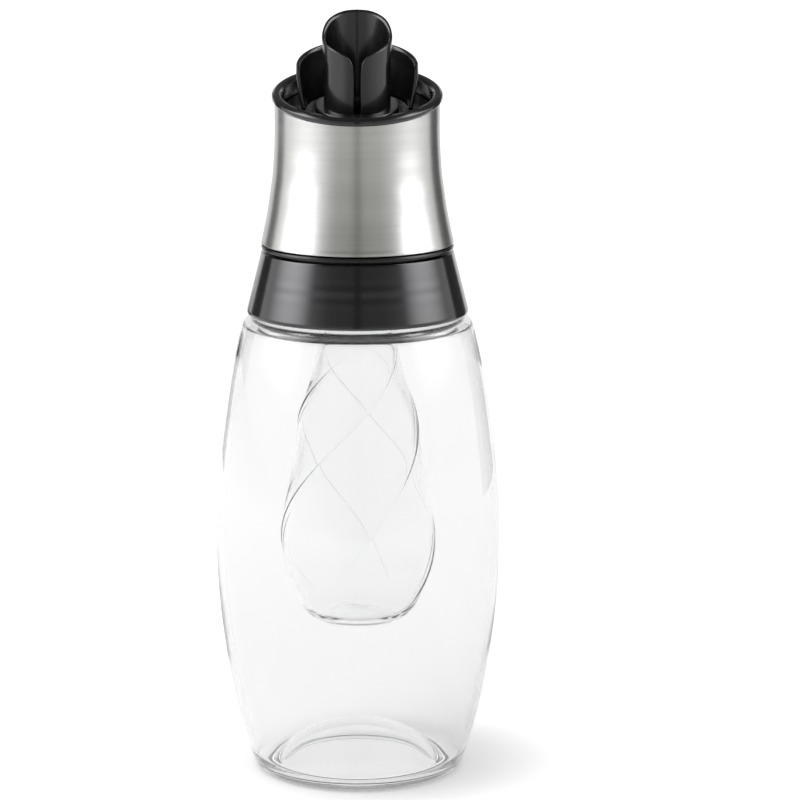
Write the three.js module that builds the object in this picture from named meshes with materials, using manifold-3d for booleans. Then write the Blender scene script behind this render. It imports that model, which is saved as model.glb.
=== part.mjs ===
// Oil and vinegar bottle: a glass bottle for oil, a swirled glass flask for vinegar that hangs inside it,
// and a stopper whose steel head turns to choose which of the two pours. Millimetres, +Z up, front at -Y.
import * as THREE from "three";
import { mergeVertices } from "three/addons/utils/BufferGeometryUtils.js";
import Module from "manifold-3d";

const wasm = await Module();
wasm.setup();

// Driving sizes
const GAP = 0.3;
const FINE = 40;
const COARSE = 32;

const FOOT_RADIUS = 27.5;
const BELLY_RADIUS = 42.3;
const BELLY_HEIGHT = 68;
const BOTTLE_WALL = 1.8;
const PUNT_HEIGHT = 10;
const BASE_THICKNESS = 2.3;
const SHOULDER_HEIGHT = 138;
const NECK_RADIUS = 26;
const NECK_BORE = 23.5;
const LIP_HEIGHT = 152;

const FLASK_FOOT_HEIGHT = 45.6;
const FLASK_BELLY_RADIUS = 22.9;
const FLASK_BELLY_HEIGHT = 70;
const FLASK_NECK_RADIUS = 10;
const FLASK_TOP_HEIGHT = 150.5;
const FLASK_WALL = 1.7;
const FLASK_RIDGES = 4;
const FLASK_RIDGE_DEPTH = 1.2;
const FLASK_SWIRL = { low: 0.66, high: 0.98, from: 60, to: 110 };

const COLLAR_FOOT_HEIGHT = 138.4;
const COLLAR_FOOT_RADIUS = 32.6;
const COLLAR_TOP_HEIGHT = 156.8;
const COLLAR_TOP_RADIUS = 28.4;
const COLLAR_WALL = 1.6;

const PLATE_BOTTOM = 152.5;
const PLATE_TOP = 155.5;
const PLATE_RADIUS = 26.6;
const BEARING_RADIUS = 23.4;
const BEARING_BORE = 21.6;
const BEARING_TOP = 163;
const GROOVE_BOTTOM = 160.7;
const GROOVE_TOP = 162.3;
const GROOVE_RADIUS = 22.55;
const SKIRT_RADIUS = 21.2;
const SKIRT_BORE = 19.6;
const SKIRT_BOTTOM = 141;
const RIB_RADIUS = 22.4;
const SOCKET_RADIUS = 13;
const SOCKET_BORE = 11.6;
const SOCKET_BOTTOM = 138.8;

const VALVE_RADIUS = BEARING_BORE - GAP;
const GASKET_THICKNESS = 1.3;
const ROTOR_THICKNESS = 2.9;
const OIL_PORT = { inner: 14, outer: 18.4 };
const VINEGAR_PORT = { inner: 3.5, outer: 7.8 };
const PORT_HALF_ANGLE = 20;
const SELECT_ANGLE = 45;

const SLEEVE_BOTTOM = 159.2;
const SLEEVE_FOOT_RADIUS = 28.3;
const SLEEVE_WAIST_RADIUS = 24.15;
const SLEEVE_TOP = 201.5;
const SLEEVE_SHEET = 0.8;
const LINER_WALL = 1.3;
const SLANT = 0.21;
const SLANT_START = 184;

const RING_RADIUS = 25;
const RING_TOP = 203.5;
const WELL_RADIUS = 22;
const DECK_TOP = 198.7;
const DECK_THICKNESS = 2;
const DECK_RADIUS = WELL_RADIUS - GAP;

const VINEGAR_SPOUT_RADIUS = 9.8;
const VINEGAR_SPOUT_LIP = 10.4;
const VINEGAR_SPOUT_BORE = 8.7;
const VINEGAR_SPOUT_MIDDLE = 219.6;
const VINEGAR_SPOUT_FRONT_SLOPE = 0.44;
const VINEGAR_SPOUT_REAR_SLOPE = 0.83;
const VINEGAR_SPOUT_REAR_ROUNDING = 0.016;
const VINEGAR_FLANGE_RADIUS = 12.3;
const VINEGAR_SLIT = 2.1;
const VINEGAR_NOTCH_WIDTH = 7.2;
const VINEGAR_NOTCH_BOTTOM = 211.4;
const VINEGAR_NOTCH_HEIGHT = 5.2;
const SPIGOT_RADIUS = 8;
const SPIGOT_BORE = 6.9;
const SPIGOT_LENGTH = 5;

const OIL_SPOUT_FOOT = 16.3;
const OIL_SPOUT_RIM = 17.75;
const OIL_SPOUT_WALL = 1.3;
const OIL_SPOUT_MIDDLE = 211.7;
const OIL_SPOUT_SLOPE = 0.297;
const OIL_SLOT = { inner: 11.6, outer: 13.9, halfAngle: 45 };

const degrees = THREE.MathUtils.degToRad;

// Shared shapes
function turned(profile, segments) {
  const points = profile.map(([radius, height]) => new THREE.Vector2(radius, height));
  const geometry = new THREE.LatheGeometry(points, segments);
  return geometry.rotateX(Math.PI / 2);
}

function turnedRing(profile, segments) {
  return turned([...profile, profile[0]], segments);
}

function curve(points, count) {
  const spline = new THREE.SplineCurve(points.map(([radius, height]) => new THREE.Vector2(radius, height)));
  return spline.getSpacedPoints(count).map((p) => [p.x, p.y]);
}

function raised(geometry, rise) {
  const position = geometry.getAttribute("position");
  for (let i = 0; i < position.count; i += 1) {
    position.setZ(i, rise(position.getX(i), position.getY(i), position.getZ(i)));
  }
  return geometry;
}

function slanted(geometry) {
  return raised(geometry, (x, y, z) => z + SLANT * y);
}

function kidney(path, inner, outer, from, to) {
  path.absarc(0, 0, outer, degrees(from), degrees(to), false);
  path.absarc(0, 0, inner, degrees(to), degrees(from), true);
  path.closePath();
  return path;
}

function circle(path, radius) {
  path.absarc(0, 0, radius, 0, 2 * Math.PI, false);
  return path;
}

function plate(outline, holes, bottom, thickness, segments) {
  outline.holes.push(...holes);
  const settings = { depth: thickness, bevelEnabled: false, curveSegments: segments / 2 };
  return new THREE.ExtrudeGeometry(outline, settings).translate(0, 0, bottom);
}

function block(width, depth, height, x, y, z) {
  return new THREE.BoxGeometry(width, depth, height).translate(x, y, z);
}

function solid(geometry) {
  const bare = geometry.clone();
  bare.deleteAttribute("normal");
  bare.deleteAttribute("uv");
  const merged = mergeVertices(bare, 1e-3);
  const vertProperties = merged.getAttribute("position").array;
  const triVerts = new Uint32Array(merged.index.array);
  return new wasm.Manifold(new wasm.Mesh({ numProp: 3, vertProperties, triVerts }));
}

function surface(body) {
  const mesh = body.getMesh();
  const geometry = new THREE.BufferGeometry();
  geometry.setAttribute("position", new THREE.BufferAttribute(mesh.vertProperties, 3));
  geometry.setIndex(new THREE.BufferAttribute(mesh.triVerts, 1));
  geometry.computeVertexNormals();
  return geometry;
}

function material(color, roughness, metalness) {
  return new THREE.MeshStandardMaterial({ color, roughness, metalness });
}

const group = new THREE.Group();
group.name = "oil_vinegar_bottle";

function add(name, geometry, finish) {
  const mesh = new THREE.Mesh(geometry, finish);
  mesh.name = name;
  group.add(mesh);
}

const glass = () => material(0xe8eeec, 0.03, 0);
const black = () => material(0x101113, 0.18, 0);
const silicone = () => material(0xb9bcbc, 0.6, 0);

// Glass bottle
const bottleSide = curve(
  [
    [33.2, 7],
    [36.2, 17.7],
    [39.2, 33],
    [41.3, 49],
    [BELLY_RADIUS, BELLY_HEIGHT],
    [41.6, 88],
    [39.4, 107],
    [36.5, 124.6],
    [34.4, 133.8],
  ],
  15,
);
const bottleInside = curve(
  [
    [34.4 - BOTTLE_WALL, 132.8],
    [36.5 - BOTTLE_WALL, 123.6],
    [39.4 - BOTTLE_WALL, 106],
    [41.6 - BOTTLE_WALL, 87],
    [BELLY_RADIUS - BOTTLE_WALL, BELLY_HEIGHT],
    [41.3 - BOTTLE_WALL, 49],
    [39.2 - BOTTLE_WALL, 33.6],
    [36.2 - BOTTLE_WALL, 18.2],
    [33.6 - BOTTLE_WALL, 8.8],
    [30.4, 5.2],
    [28, BASE_THICKNESS + 0.9],
  ],
  14,
);
const bottleProfile = [
  [0, PUNT_HEIGHT],
  [8, PUNT_HEIGHT - 0.6],
  [14, PUNT_HEIGHT - 2.6],
  [18, PUNT_HEIGHT - 5.6],
  [21.6, 0],
  [FOOT_RADIUS, 0],
  [30.3, 0.8],
  [31.6, 2.8],
  ...bottleSide,
  [33.5, 135.6],
  [32.4, 137],
  [30.9, SHOULDER_HEIGHT],
  [NECK_RADIUS + 1, SHOULDER_HEIGHT],
  [NECK_RADIUS, SHOULDER_HEIGHT + 1.2],
  [NECK_RADIUS, LIP_HEIGHT - 0.9],
  [NECK_RADIUS - 0.8, LIP_HEIGHT],
  [NECK_BORE + 0.8, LIP_HEIGHT],
  [NECK_BORE, LIP_HEIGHT - 0.9],
  [NECK_BORE, SHOULDER_HEIGHT - 0.6],
  [NECK_BORE + 1.2, SHOULDER_HEIGHT - 1.6],
  [29.4, SHOULDER_HEIGHT - BOTTLE_WALL],
  [31.2, SHOULDER_HEIGHT - BOTTLE_WALL - 0.9],
  ...bottleInside,
  [25.4, BASE_THICKNESS],
  [23, BASE_THICKNESS + 0.7],
  [20.2, PUNT_HEIGHT + BASE_THICKNESS - 6.7],
  [14.6, PUNT_HEIGHT + BASE_THICKNESS - 2.7],
  [8, PUNT_HEIGHT + BASE_THICKNESS - 0.6],
  [0, PUNT_HEIGHT + BASE_THICKNESS],
];
add("bottle_body", turned(bottleProfile, FINE), glass());

// Glass flask: four ridges wind up the wall and die out at the foot and in the neck
const flaskSide = curve(
  [
    [14.4, FLASK_FOOT_HEIGHT + 0.8],
    [18.7, 52.4],
    [21.9, 60],
    [FLASK_BELLY_RADIUS, FLASK_BELLY_HEIGHT],
    [22, 84],
    [20, 96],
    [17.4, 108],
    [14.1, 120.5],
    [11.2, 131],
    [FLASK_NECK_RADIUS, 137],
  ],
  16,
);
const flaskInside = curve(
  [
    [FLASK_NECK_RADIUS - FLASK_WALL, 136],
    [11.2 - FLASK_WALL, 130],
    [17.4 - FLASK_WALL, 107],
    [22 - FLASK_WALL, 83],
    [FLASK_BELLY_RADIUS - FLASK_WALL, FLASK_BELLY_HEIGHT],
    [21.9 - FLASK_WALL, 61],
    [17.5, 54],
    [12.6, FLASK_FOOT_HEIGHT + 4],
  ],
  11,
);

function ridgeDepth(height) {
  const fadeIn = THREE.MathUtils.smoothstep(height, FLASK_FOOT_HEIGHT + 2, 58);
  const fadeOut = 1 - THREE.MathUtils.smoothstep(height, 112, 134);
  return FLASK_RIDGE_DEPTH * fadeIn * fadeOut;
}

function flaskRadiusAt(height) {
  const above = flaskSide.findIndex(([, z]) => z >= height);
  if (above <= 0) {
    return above === 0 ? flaskSide[0][0] : FLASK_NECK_RADIUS;
  }
  const [lowRadius, lowHeight] = flaskSide[above - 1];
  const [highRadius, highHeight] = flaskSide[above];
  return lowRadius + ((highRadius - lowRadius) * (height - lowHeight)) / (highHeight - lowHeight);
}

function leanAt(height) {
  const share = (height - FLASK_SWIRL.from) / (FLASK_SWIRL.to - FLASK_SWIRL.from);
  return THREE.MathUtils.lerp(FLASK_SWIRL.low, FLASK_SWIRL.high, THREE.MathUtils.clamp(share, 0, 1));
}

function swirlAt(height) {
  const steps = 40;
  const step = (height - FLASK_BELLY_HEIGHT) / steps;
  let turn = -Math.PI / 2;
  for (let i = 0; i < steps; i += 1) {
    const middle = FLASK_BELLY_HEIGHT + (i + 0.5) * step;
    turn += (leanAt(middle) * step) / flaskRadiusAt(middle);
  }
  return turn;
}

function swirled(geometry) {
  const position = geometry.getAttribute("position");
  for (let i = 0; i < position.count; i += 1) {
    const x = position.getX(i);
    const y = position.getY(i);
    const z = position.getZ(i);
    const radius = Math.hypot(x, y);
    const crest = 0.5 + 0.5 * Math.cos(FLASK_RIDGES * (Math.atan2(y, x) - swirlAt(z)));
    const share = radius > 1 ? 1 - (ridgeDepth(z) * (1 - crest ** 1.5)) / radius : 1;
    position.setXY(i, x * share, y * share);
  }
  return geometry;
}

const flaskProfile = [
  [0, FLASK_FOOT_HEIGHT + 0.9],
  [8, FLASK_FOOT_HEIGHT + 0.6],
  [11.4, FLASK_FOOT_HEIGHT],
  [13.4, FLASK_FOOT_HEIGHT],
  ...flaskSide,
  [FLASK_NECK_RADIUS, FLASK_TOP_HEIGHT - 0.5],
  [FLASK_NECK_RADIUS - 0.5, FLASK_TOP_HEIGHT],
  [FLASK_NECK_RADIUS - FLASK_WALL, FLASK_TOP_HEIGHT],
  ...flaskInside,
  [7, FLASK_FOOT_HEIGHT + 3.4],
  [0, FLASK_FOOT_HEIGHT + 3.4],
];
add("vinegar_flask", swirled(turned(flaskProfile, FINE)), glass());

// Collar over the bottle's neck
const collarProfile = [
  [COLLAR_FOOT_RADIUS - COLLAR_WALL, COLLAR_FOOT_HEIGHT],
  [COLLAR_FOOT_RADIUS - 0.8, COLLAR_FOOT_HEIGHT],
  [COLLAR_FOOT_RADIUS - 0.2, COLLAR_FOOT_HEIGHT + 0.5],
  [COLLAR_FOOT_RADIUS, COLLAR_FOOT_HEIGHT + 1.4],
  [COLLAR_TOP_RADIUS, COLLAR_TOP_HEIGHT - 0.4],
  [COLLAR_TOP_RADIUS - 0.4, COLLAR_TOP_HEIGHT],
  [BEARING_RADIUS + 1.2, COLLAR_TOP_HEIGHT],
  [BEARING_RADIUS + 1.2, PLATE_TOP + GAP],
  [PLATE_RADIUS + GAP, PLATE_TOP + GAP],
  [PLATE_RADIUS + GAP, PLATE_TOP - 2],
];
add("neck_collar", turnedRing(collarProfile, FINE), black());

// Plug: valve seat plate, bearing for the head, skirt for the neck and socket for the flask
const ribTop = 149.5;
const ribMiddle = 147;
const ribLow = 143.5;
const ribHeight = 1;
const plugProfile = [
  [0, PLATE_BOTTOM],
  [SOCKET_BORE, PLATE_BOTTOM],
  [SOCKET_BORE, SOCKET_BOTTOM],
  [SOCKET_RADIUS, SOCKET_BOTTOM],
  [SOCKET_RADIUS, PLATE_BOTTOM],
  [SKIRT_BORE, PLATE_BOTTOM],
  [SKIRT_BORE, SKIRT_BOTTOM],
  [SKIRT_RADIUS, SKIRT_BOTTOM],
  [RIB_RADIUS, ribLow - ribHeight],
  [RIB_RADIUS, ribLow],
  [SKIRT_RADIUS, ribLow],
  [SKIRT_RADIUS, ribMiddle - ribHeight],
  [RIB_RADIUS, ribMiddle - ribHeight],
  [RIB_RADIUS, ribMiddle],
  [SKIRT_RADIUS, ribMiddle],
  [SKIRT_RADIUS, ribTop],
  [RIB_RADIUS, ribTop],
  [RIB_RADIUS, PLATE_BOTTOM],
  [PLATE_RADIUS, PLATE_BOTTOM],
  [PLATE_RADIUS, PLATE_TOP],
  [BEARING_RADIUS, PLATE_TOP],
  [BEARING_RADIUS, GROOVE_BOTTOM],
  [GROOVE_RADIUS, GROOVE_BOTTOM],
  [GROOVE_RADIUS, GROOVE_TOP],
  [BEARING_RADIUS, GROOVE_TOP],
  [BEARING_RADIUS, BEARING_TOP],
  [BEARING_BORE, BEARING_TOP],
  [BEARING_BORE, PLATE_TOP],
  [0, PLATE_TOP],
];

function seatPort(port, middle) {
  const outline = kidney(
    new THREE.Shape(),
    port.inner,
    port.outer,
    middle - PORT_HALF_ANGLE,
    middle + PORT_HALF_ANGLE,
  );
  return solid(plate(outline, [], PLATE_BOTTOM - 1, PLATE_TOP - PLATE_BOTTOM + 2, 10));
}

const plug = solid(turned(plugProfile, COARSE))
  .subtract(seatPort(OIL_PORT, 90))
  .subtract(seatPort(VINEGAR_PORT, -90));
add("stopper_plug", surface(plug), black());

// Silicone seals of the neck and the flask
function mouthSeal(bottom, top) {
  const inner = SKIRT_RADIUS + GAP;
  const outer = NECK_BORE - GAP;
  const middle = (bottom + top) / 2;
  return turnedRing(
    [
      [inner, bottom],
      [outer - 0.6, bottom],
      [outer, middle],
      [outer - 0.6, top],
      [inner, top],
    ],
    COARSE,
  );
}
add("mouth_seal_upper", mouthSeal(ribMiddle + GAP, ribTop - GAP), silicone());
add("mouth_seal_lower", mouthSeal(ribLow + GAP, ribMiddle - ribHeight - GAP), silicone());

const flaskSealProfile = [
  [FLASK_NECK_RADIUS + GAP, SOCKET_BOTTOM + 0.4],
  [SOCKET_BORE - GAP, SOCKET_BOTTOM + 0.4],
  [SOCKET_BORE - GAP, PLATE_BOTTOM - GAP],
  [FLASK_NECK_RADIUS - FLASK_WALL, PLATE_BOTTOM - GAP],
  [FLASK_NECK_RADIUS - FLASK_WALL, FLASK_TOP_HEIGHT + GAP],
  [FLASK_NECK_RADIUS + GAP, FLASK_TOP_HEIGHT + GAP],
];
add("flask_seal", turnedRing(flaskSealProfile, COARSE), silicone());

// Rotary valve: the gasket stays on the seat and the rotor turns over it
function seatHole(port, middle) {
  return kidney(
    new THREE.Path(),
    port.inner,
    port.outer,
    middle - PORT_HALF_ANGLE,
    middle + PORT_HALF_ANGLE,
  );
}
const gasketBottom = PLATE_TOP + GAP;
const gasketHoles = [seatHole(OIL_PORT, 90), seatHole(VINEGAR_PORT, -90)];
const gasket = plate(
  circle(new THREE.Shape(), VALVE_RADIUS),
  gasketHoles,
  gasketBottom,
  GASKET_THICKNESS,
  COARSE,
);
add("valve_gasket", gasket, silicone());

const rotorBottom = gasketBottom + GASKET_THICKNESS + GAP;
const rotorTop = rotorBottom + ROTOR_THICKNESS;
const rotorOilFrom = 90 - SELECT_ANGLE - PORT_HALF_ANGLE;
const rotorOilTo = 90 + PORT_HALF_ANGLE;
const rotorHoles = [
  kidney(new THREE.Path(), OIL_PORT.inner, OIL_PORT.outer, rotorOilFrom, rotorOilTo),
  kidney(new THREE.Path(), VINEGAR_PORT.inner, VINEGAR_PORT.outer, -rotorOilTo, -rotorOilFrom),
];
const rotor = plate(
  circle(new THREE.Shape(), VALVE_RADIUS),
  rotorHoles,
  rotorBottom,
  ROTOR_THICKNESS,
  COARSE,
);
add("valve_rotor", rotor, black());

// Slip ring in the seam between collar and sleeve
const slipRingProfile = [
  [BEARING_RADIUS + 1.1, COLLAR_TOP_HEIGHT + 0.5],
  [SLEEVE_FOOT_RADIUS - 0.1, COLLAR_TOP_HEIGHT + 0.5],
  [SLEEVE_FOOT_RADIUS - 0.1, SLEEVE_BOTTOM - 0.5],
  [BEARING_RADIUS + 1.1, SLEEVE_BOTTOM - 0.5],
];
add("slip_ring", turnedRing(slipRingProfile, FINE), material(0x2b2c2e, 0.3, 0));

// Steel sleeve, upright at its waist and cut on a slant at its top
const sleeveSide = [
  [SLEEVE_FOOT_RADIUS, SLEEVE_BOTTOM],
  [SLEEVE_FOOT_RADIUS - 0.25, 160.6],
  [27, 165.7],
  [26.2, 170],
  [25.5, 174.8],
  [24.9, 179],
  [24.5, SLANT_START],
  [SLEEVE_WAIST_RADIUS, 191],
  [SLEEVE_WAIST_RADIUS, SLEEVE_TOP],
];

function topSlanted(geometry, top) {
  return raised(geometry, (x, y, z) => {
    const share = THREE.MathUtils.clamp((z - SLANT_START) / (top - SLANT_START), 0, 1);
    return z + SLANT * y * share;
  });
}

function shell(side, outerOffset, innerOffset) {
  const outer = side.map(([radius, height]) => [radius - outerOffset, height]);
  const inner = side.map(([radius, height]) => [radius - innerOffset, height]);
  return [...outer, ...inner.reverse()];
}
const sleeve = topSlanted(turnedRing(shell(sleeveSide, 0, SLEEVE_SHEET), FINE), SLEEVE_TOP);
add("steel_sleeve", sleeve, material(0xb6b8b8, 0.3, 1));

// Liner inside the sleeve: a foot that turns on the bearing and a ledge that carries the deck
const linerTop = DECK_TOP - DECK_THICKNESS - GAP;
const linerOffset = SLEEVE_SHEET + GAP;
const linerOuter = sleeveSide.map(([radius, height]) => [radius - linerOffset, Math.min(height, linerTop)]);
const linerInner = linerOuter.map(([radius, height]) => [radius - LINER_WALL, height]);
const linerProfile = [
  [BEARING_RADIUS + GAP, SLEEVE_BOTTOM],
  ...linerOuter,
  [20.4, linerTop],
  [20.4, linerTop - 1.5],
  [SLEEVE_WAIST_RADIUS - linerOffset - LINER_WALL, linerTop - 2.4],
  ...linerInner.slice(2, -1).reverse(),
  [26.1, GROOVE_BOTTOM - 0.1],
  [BEARING_RADIUS + GAP, GROOVE_BOTTOM - 0.1],
];
add("sleeve_liner", topSlanted(turnedRing(linerProfile, COARSE), linerTop), black());

// Split ring in the bearing's groove, which keeps the liner's foot down
const clip = kidney(new THREE.Shape(), GROOVE_RADIUS + GAP, 24.9, -65, 245);
const clipRing = plate(clip, [], GROOVE_BOTTOM + GAP, 1, COARSE);
add("retaining_ring", clipRing, material(0xa4a8aa, 0.35, 1));

// Black ring on the slanted edge, with a skirt that walls the well
const ringProfile = [
  [WELL_RADIUS, linerTop + 0.4],
  [SLEEVE_WAIST_RADIUS - linerOffset, linerTop + 0.4],
  [SLEEVE_WAIST_RADIUS - linerOffset, SLEEVE_TOP + GAP],
  [RING_RADIUS - 0.5, SLEEVE_TOP + GAP],
  [RING_RADIUS, RING_TOP - 1.1],
  [RING_RADIUS - 0.2, RING_TOP - 0.4],
  [RING_RADIUS - 0.8, RING_TOP],
  [WELL_RADIUS + 1, RING_TOP],
  [WELL_RADIUS, RING_TOP - 0.9],
];
add("rim_ring", slanted(turnedRing(ringProfile, FINE)), black());

// Slanted deck with the two outlets
const deckHoles = [
  circle(new THREE.Path(), SPIGOT_RADIUS + GAP),
  kidney(
    new THREE.Path(),
    OIL_SLOT.inner,
    OIL_SLOT.outer,
    90 - OIL_SLOT.halfAngle,
    90 + OIL_SLOT.halfAngle,
  ),
];
const deck = plate(
  circle(new THREE.Shape(), DECK_RADIUS),
  deckHoles,
  DECK_TOP - DECK_THICKNESS,
  DECK_THICKNESS,
  FINE,
);
add("pour_deck", slanted(deck), black());

// Ducts from the rotor to the two outlets
const ductBottom = rotorTop + GAP;
const ductTop = DECK_TOP - DECK_THICKNESS - GAP;

function ductSlanted(geometry) {
  return raised(geometry, (x, y, z) => z + (SLANT * y * (z - ductBottom)) / (ductTop - ductBottom));
}
const vinegarDuctProfile = [
  [SPIGOT_RADIUS + 0.4, ductBottom],
  [SPIGOT_RADIUS + 1.4, ductBottom],
  [SPIGOT_RADIUS + 1.4, ductTop],
  [SPIGOT_RADIUS + 0.4, ductTop],
];
add("vinegar_duct", ductSlanted(turnedRing(vinegarDuctProfile, COARSE)), black());

const oilDuctFrom = 15;
const oilDuctTo = 145;
const oilDuctWall = 5.5;
const oilDuctHole = kidney(new THREE.Path(), 11.4, 18.7, oilDuctFrom + oilDuctWall, oilDuctTo - oilDuctWall);
const oilDuctOutline = kidney(new THREE.Shape(), 10.2, 19.9, oilDuctFrom, oilDuctTo);
const oilDuct = plate(oilDuctOutline, [oilDuctHole], ductBottom, ductTop - ductBottom, 16);
add("oil_duct", ductSlanted(oilDuct), black());

// Central spout for vinegar: oblique rim, slit down the front, flange on the deck, spigot through it
const spoutFoot = DECK_TOP + GAP;
const flangeTop = spoutFoot + 0.8;

function spoutRim(y) {
  if (y < 0) {
    return VINEGAR_SPOUT_MIDDLE + VINEGAR_SPOUT_FRONT_SLOPE * y;
  }
  return VINEGAR_SPOUT_MIDDLE + VINEGAR_SPOUT_REAR_SLOPE * y - VINEGAR_SPOUT_REAR_ROUNDING * y * y;
}

function spoutHeight(y, z) {
  const level = z + SLANT * y;
  if (z <= flangeTop) {
    return level;
  }
  const share = (z - flangeTop) / (VINEGAR_SPOUT_MIDDLE - flangeTop);
  return level + share * (spoutRim(y) - VINEGAR_SPOUT_MIDDLE - SLANT * y);
}
const spoutWaist = (flangeTop + VINEGAR_SPOUT_MIDDLE) / 2;
const spoutProfile = [
  [SPIGOT_BORE, spoutFoot - SPIGOT_LENGTH],
  [SPIGOT_RADIUS, spoutFoot - SPIGOT_LENGTH],
  [SPIGOT_RADIUS, spoutFoot],
  [VINEGAR_FLANGE_RADIUS, spoutFoot],
  [VINEGAR_FLANGE_RADIUS, flangeTop],
  [VINEGAR_SPOUT_RADIUS, flangeTop],
  [VINEGAR_SPOUT_RADIUS, spoutWaist],
  [VINEGAR_SPOUT_LIP, VINEGAR_SPOUT_MIDDLE],
  [VINEGAR_SPOUT_LIP - 1.1, VINEGAR_SPOUT_MIDDLE],
  [VINEGAR_SPOUT_BORE, spoutWaist],
  [VINEGAR_SPOUT_BORE, flangeTop],
  [SPIGOT_BORE, flangeTop - 0.8],
];
const spoutTube = raised(turnedRing(spoutProfile, FINE), (x, y, z) => spoutHeight(y, z));
const slitBottom = flangeTop - SLANT * VINEGAR_SPOUT_RADIUS + 0.2;
const slit = block(VINEGAR_SLIT, 6, 30, 0, -VINEGAR_SPOUT_RADIUS, slitBottom + 15);
const notchOutline = new THREE.Shape([
  new THREE.Vector2(-VINEGAR_SLIT / 2, 0),
  new THREE.Vector2(VINEGAR_SLIT / 2, 0),
  new THREE.Vector2(VINEGAR_NOTCH_WIDTH / 2, VINEGAR_NOTCH_HEIGHT),
  new THREE.Vector2(-VINEGAR_NOTCH_WIDTH / 2, VINEGAR_NOTCH_HEIGHT),
]);
const notch = plate(notchOutline, [], 0, 8, 4)
  .rotateX(Math.PI / 2)
  .translate(0, -5, VINEGAR_NOTCH_BOTTOM);
const flangeSlot = kidney(
  new THREE.Shape(),
  VINEGAR_SPOUT_RADIUS + 0.6,
  OIL_SLOT.outer + 0.6,
  90 - OIL_SLOT.halfAngle - 3,
  90 + OIL_SLOT.halfAngle + 3,
);
const flangeCut = slanted(plate(flangeSlot, [], spoutFoot - 0.2, 1.2, 16));
const vinegarSpout = solid(spoutTube)
  .subtract(solid(slit))
  .subtract(solid(notch))
  .subtract(solid(flangeCut));
add("vinegar_spout", surface(vinegarSpout), black());

// Half-round trough for oil behind the central spout
function troughHeight(y, z) {
  const share = (z - spoutFoot) / (OIL_SPOUT_MIDDLE - spoutFoot);
  return z + y * (SLANT + share * (OIL_SPOUT_SLOPE - SLANT));
}
const troughSide = [
  [OIL_SPOUT_FOOT, spoutFoot],
  [16.9, 202],
  [17.45, 205.5],
  [OIL_SPOUT_RIM, 208.5],
  [OIL_SPOUT_RIM, OIL_SPOUT_MIDDLE],
];
const troughProfile = shell(troughSide, 0, OIL_SPOUT_WALL);
const troughTube = raised(turnedRing(troughProfile, FINE), (x, y, z) => troughHeight(y, z));
const rearHalf = block(60, 30, 40, 0, 14, OIL_SPOUT_MIDDLE);
const oilSpout = solid(troughTube).intersect(solid(rearHalf));
add("oil_spout", surface(oilSpout), black());

export default group;
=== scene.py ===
import math

import bmesh
import bpy
import numpy as np
from mathutils import Matrix, Vector


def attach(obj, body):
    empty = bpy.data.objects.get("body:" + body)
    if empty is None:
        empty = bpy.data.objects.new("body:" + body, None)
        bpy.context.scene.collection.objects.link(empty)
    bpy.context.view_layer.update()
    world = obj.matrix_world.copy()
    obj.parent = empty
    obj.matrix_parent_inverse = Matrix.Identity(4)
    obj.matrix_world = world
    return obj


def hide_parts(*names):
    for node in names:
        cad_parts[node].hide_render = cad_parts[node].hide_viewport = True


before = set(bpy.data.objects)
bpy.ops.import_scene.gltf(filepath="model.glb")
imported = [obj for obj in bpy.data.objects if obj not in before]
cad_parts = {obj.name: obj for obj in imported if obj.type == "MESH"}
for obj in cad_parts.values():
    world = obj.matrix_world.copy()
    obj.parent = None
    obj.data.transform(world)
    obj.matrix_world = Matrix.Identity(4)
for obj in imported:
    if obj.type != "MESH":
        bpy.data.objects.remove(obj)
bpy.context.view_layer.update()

# Glass bottle
# The oil bottle is thin clear glass, blown in a mould to an egg shape on a small foot with a punt under it.
# Its round shoulder, with a sloped ledge inside, turns in to a plain neck that the stopper's seals grip.


def flowing(points, steps):
    """A smooth line through points of radius and height, with steps pieces between each two."""
    spots = np.array(points, float)
    gaps = np.linalg.norm(np.diff(spots, axis=0), axis=1)
    system = np.eye(len(spots))
    pull = np.zeros_like(spots)
    for i in range(1, len(spots) - 1):
        system[i, i - 1 : i + 2] = gaps[i - 1], 2 * (gaps[i - 1] + gaps[i]), gaps[i]
        pull[i] = 6 * (spots[i + 1] - spots[i]) / gaps[i] - 6 * (spots[i] - spots[i - 1]) / gaps[i - 1]
    bend = np.linalg.solve(system, pull)
    line = []
    for i, gap in enumerate(gaps):
        for t in np.linspace(0, 1, steps, endpoint=False):
            u = 1 - t
            sway = (u**3 - u) * bend[i] + (t**3 - t) * bend[i + 1]
            line.append(tuple(u * spots[i] + t * spots[i + 1] + gap**2 / 6 * sway))
    line.append(tuple(spots[-1]))
    return line


def turned(shape, outline, segments, place=None, sweep=None):
    """Turns an outline of radius and height about the upright axis, all round or over a sweep of degrees."""
    start, end = sweep or (0, 360)
    count = segments + 1 if sweep else segments
    angles = [math.radians(start + (end - start) * i / segments) for i in range(count)]
    rows = []
    for radius, height in outline:
        spots = [(radius * math.cos(a), radius * math.sin(a), height) for a in angles]
        if radius < 0.001:
            spots = spots[:1]
        rows.append([shape.verts.new(place(*spot) if place else spot) for spot in spots])
    ends_on_axis = outline[0][0] < 0.001
    pairs = list(zip(rows, rows[1:] if ends_on_axis else rows[1:] + rows[:1]))
    for low, high in pairs:
        for i in range(segments):
            j = i + 1
            corners = [low[i % len(low)], low[j % len(low)], high[j % len(high)], high[i % len(high)]]
            shape.faces.new(list(dict.fromkeys(corners)))
    if sweep:
        shape.faces.new([row[0] for row in rows])
        shape.faces.new([row[-1] for row in rows])


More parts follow.
